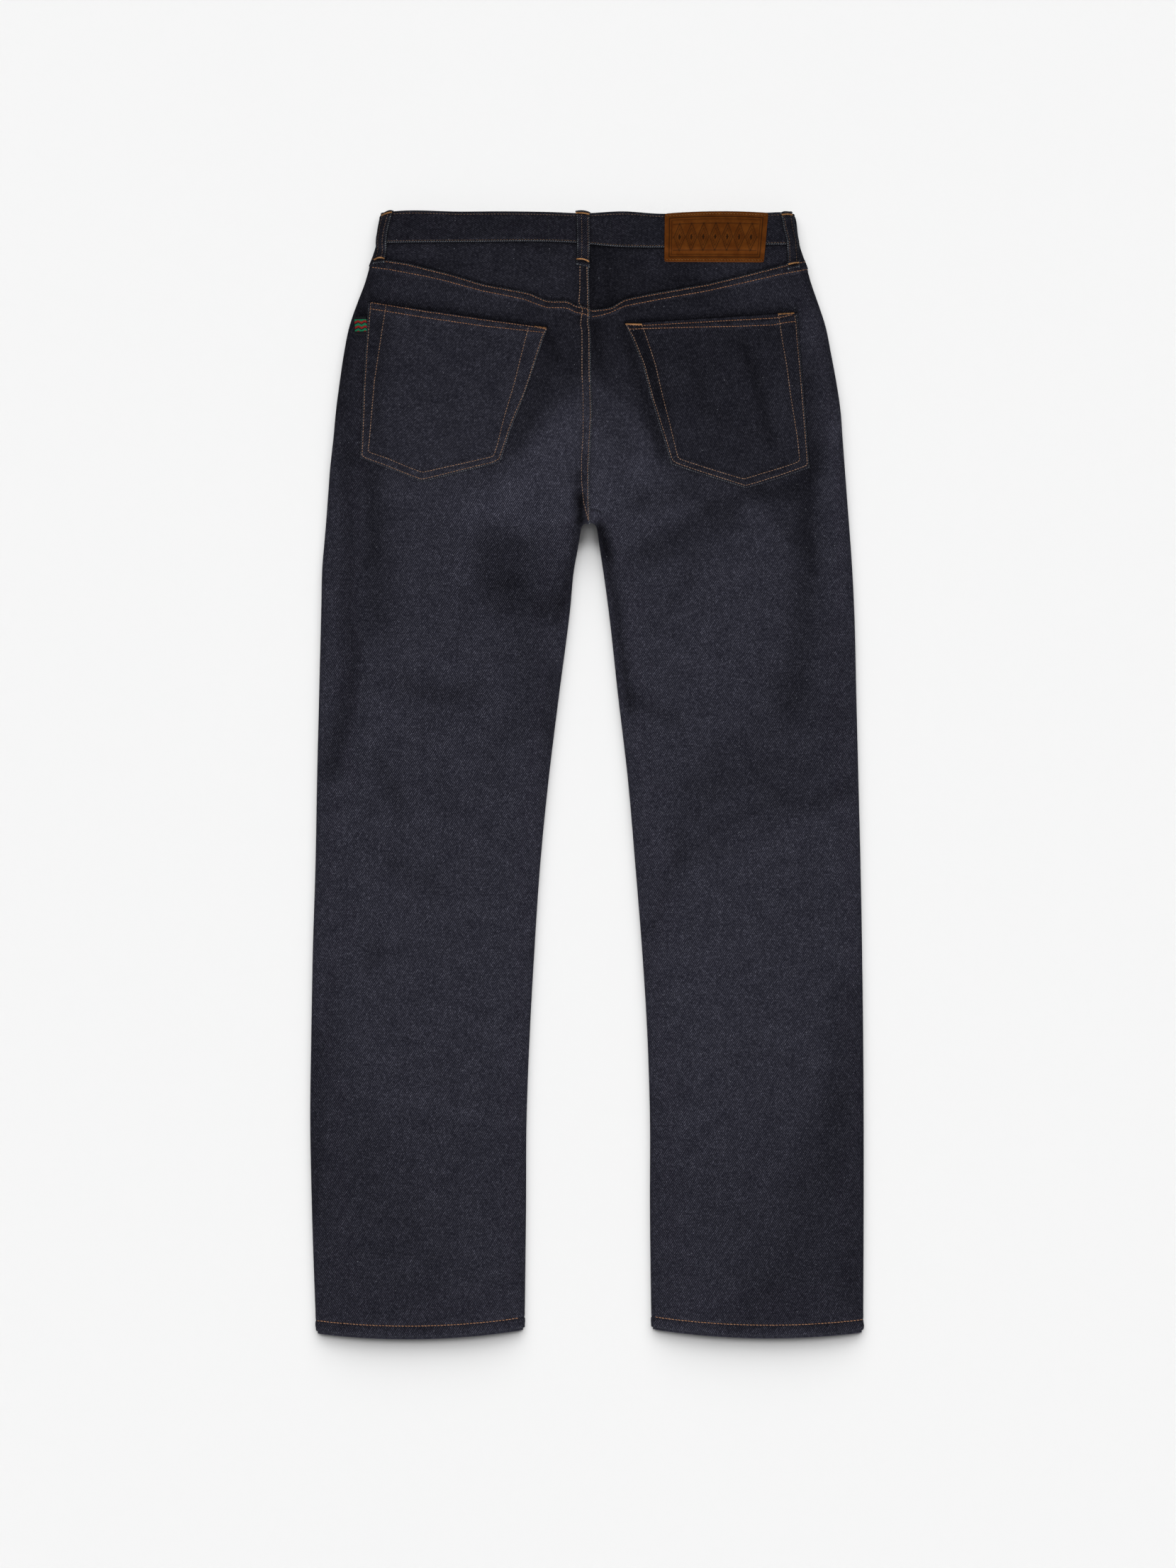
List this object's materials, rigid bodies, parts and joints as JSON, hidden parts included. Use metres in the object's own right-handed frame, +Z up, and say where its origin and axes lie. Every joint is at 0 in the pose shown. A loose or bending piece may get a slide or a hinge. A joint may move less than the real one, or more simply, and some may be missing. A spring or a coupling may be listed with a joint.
{
  "type": "straight leg jeans",
  "caption": "Straight leg denim jeans laid flat face down, with yoke, patch pockets, belt loops and a leather waist patch.",
  "frame": {"origin": "on the surface the jeans lie on, under the middle of their outline", "axes": "+Z up from the surface, through the front to the back; +Y towards the waist; +X towards the wearer's right"},
  "size_m": [0.5269, 1.0764, 0.0327],
  "materials": {
    "denim": "matte raw twill",
    "leather": "satin",
    "woven_tab": "matte",
    "antique_metal": "antique",
    "thread": "matte twisted thread"
  },
  "bodies": {
    "root": {"back_panel_left": "denim", "yoke_left": "denim", "front_panel_left": "denim", "pocket_facing_left": "denim", "hem_left": "denim", "back_pocket_left": "denim", "loop_back_left": "denim", "loop_front_left": "denim", "back_panel_right": "denim", "yoke_right": "denim", "front_panel_right": "denim", "pocket_facing_right": "denim", "hem_right": "denim", "back_pocket_right": "denim", "loop_back_right": "denim", "loop_front_right": "denim", "loop_back_centre": "denim", "waistband": "denim", "leather_patch": "leather", "side_tab": "woven_tab", "waist_button": "antique_metal"}
  },
  "joints": []
}
